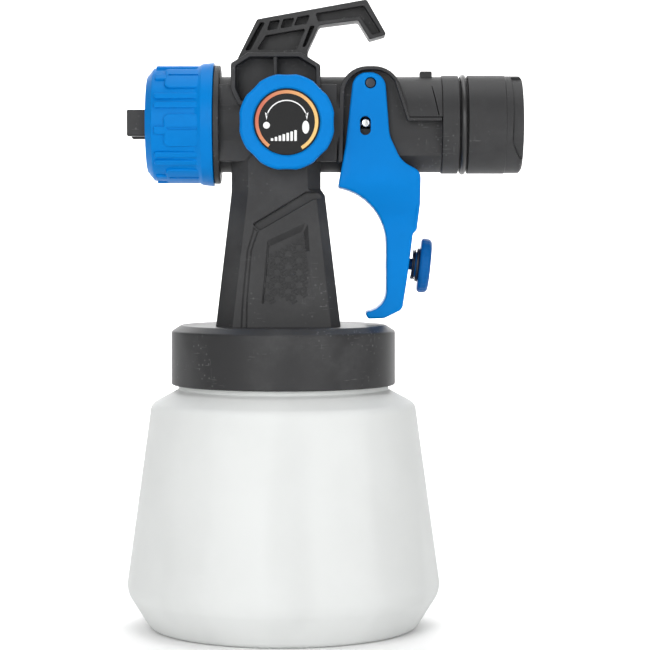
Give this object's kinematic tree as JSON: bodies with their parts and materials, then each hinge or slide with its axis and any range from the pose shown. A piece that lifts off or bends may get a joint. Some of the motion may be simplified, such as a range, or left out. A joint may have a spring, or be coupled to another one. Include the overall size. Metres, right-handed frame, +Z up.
{
  "type": "HVLP spray gun",
  "caption": "Suction-cup HVLP spray gun head with a screw-on frosted cup, trigger, pattern wheel, flow stop knob, nozzle nut and a bayonet air inlet.",
  "frame": {"origin": "centre of the cup's foot, on the plane that the gun stands on", "axes": "+Z up, +X from the nozzle to the air inlet, +Y to the side away from the pattern wheel"},
  "size_m": [0.1511, 0.1202, 0.2405],
  "materials": {
    "black_plastic": "fine-grained moulded black, satin",
    "bright_blue_plastic": "moulded bright blue, semi-gloss",
    "deep_blue_plastic": "moulded deep blue, semi-gloss",
    "dial_print": "printed disc, black with an orange to yellow scale ring",
    "frosted_plastic": "frosted translucent polyethylene",
    "natural_plastic": "natural white plastic",
    "rubber": "black rubber",
    "steel": "bright steel",
    "brass": "machined brass"
  },
  "bodies": {
    "gun": {"gun_body": "black_plastic", "hanging_hook": "black_plastic", "inlet_sleeve": "black_plastic", "inlet_oring": "rubber", "cup_lid": "black_plastic", "lid_screws": "steel", "check_valve": "natural_plastic", "valve_membrane": "rubber", "tube_seal": "rubber", "pivot_pin": "steel", "baffle_plate": "black_plastic", "fluid_nozzle": "brass", "nozzle_gasket": "rubber", "needle_packing": "natural_plastic", "packing_nut": "brass", "spring_cap": "brass", "needle_spring": "steel"},
    "air_cap": {"air_cap": "black_plastic"},
    "nut_ring": {"nut_thrust_ring": "natural_plastic"},
    "union_nut": {"union_nut": "bright_blue_plastic"},
    "needle": {"fluid_needle": "steel", "needle_pin": "steel"},
    "jog_wheel": {"jog_wheel": "bright_blue_plastic", "dial_plate": "dial_print", "valve_spindle": "black_plastic", "wheel_screw": "steel", "spindle_oring": "rubber"},
    "trigger": {"trigger": "bright_blue_plastic", "knob_insert": "brass", "knob_spring": "steel"},
    "knob_washer": {"knob_washer": "steel"},
    "flow_knob": {"flow_knob": "deep_blue_plastic"},
    "lid_gasket": {"lid_gasket": "rubber"},
    "container": {"container": "frosted_plastic"},
    "pickup_tube": {"pickup_tube": "natural_plastic", "suction_strainer": "black_plastic"}
  },
  "joints": [
    {"name": "trigger_pull", "type": "hinge", "parent": "gun", "child": "trigger", "pos_m": [0.0331, 0, 0.2082], "axis": [0, -1, 0], "range_deg": [0, 12.5], "stiffness_Nm_per_rad": 0.8, "springref_deg": -8.59},
    {"name": "needle_travel", "type": "slide", "parent": "gun", "child": "needle", "axis": [1, 0, 0], "range_m": [0, 0.0033], "deforming": ["needle_spring"]},
    {"name": "jog_wheel_turn", "type": "hinge", "parent": "gun", "child": "jog_wheel", "pos_m": [0.0018, 0, 0.193], "axis": [0, -1, 0], "range_deg": [-100, 100]},
    {"name": "air_cap_turn", "type": "hinge", "parent": "gun", "child": "air_cap", "pos_m": [-0.045, 0, 0.1932], "axis": [-1, 0, 0], "range_deg": [-90, 90]},
    {"name": "nut_advance", "type": "slide", "parent": "gun", "child": "nut_ring", "axis": [-1, 0, 0], "range_m": [0, 0.0075]},
    {"name": "union_nut_turn", "type": "hinge", "parent": "nut_ring", "child": "union_nut", "pos_m": [-0.04, 0, 0.1932], "axis": [-1, 0, 0], "range_deg": [0, 902]},
    {"name": "knob_lift", "type": "slide", "parent": "trigger", "child": "knob_washer", "axis": [0.9945, 0, -0.1045], "range_m": [0, 0.003], "deforming": ["knob_spring"]},
    {"name": "flow_knob_turn", "type": "hinge", "parent": "knob_washer", "child": "flow_knob", "pos_m": [0.04835, 0, 0.1398], "axis": [0.9945, 0, -0.1045], "range_deg": [0, 722]},
    {"name": "cup_lowering", "type": "slide", "parent": "gun", "child": "lid_gasket", "axis": [0, 0, -1], "range_m": [0, 0.009]},
    {"name": "container_unscrew", "type": "hinge", "parent": "lid_gasket", "child": "container", "pos_m": [0, 0, 0.1], "axis": [0, 0, -1], "range_deg": [0, 541]},
    {"name": "pickup_tube_turn", "type": "hinge", "parent": "gun", "child": "pickup_tube", "pos_m": [0, 0, 0.107], "axis": [0, 0, 1], "range_deg": [-180, 180]}
  ],
  "couplings": [
    {"joint": "needle_travel", "follows": "trigger_pull", "m_per_rad": 0.01499},
    {"joint": "union_nut_turn", "follows": "nut_advance", "rad_per_m": 2094.4},
    {"joint": "flow_knob_turn", "follows": "knob_lift", "rad_per_m": 4188.8},
    {"joint": "container_unscrew", "follows": "cup_lowering", "rad_per_m": 1047.2}
  ]
}
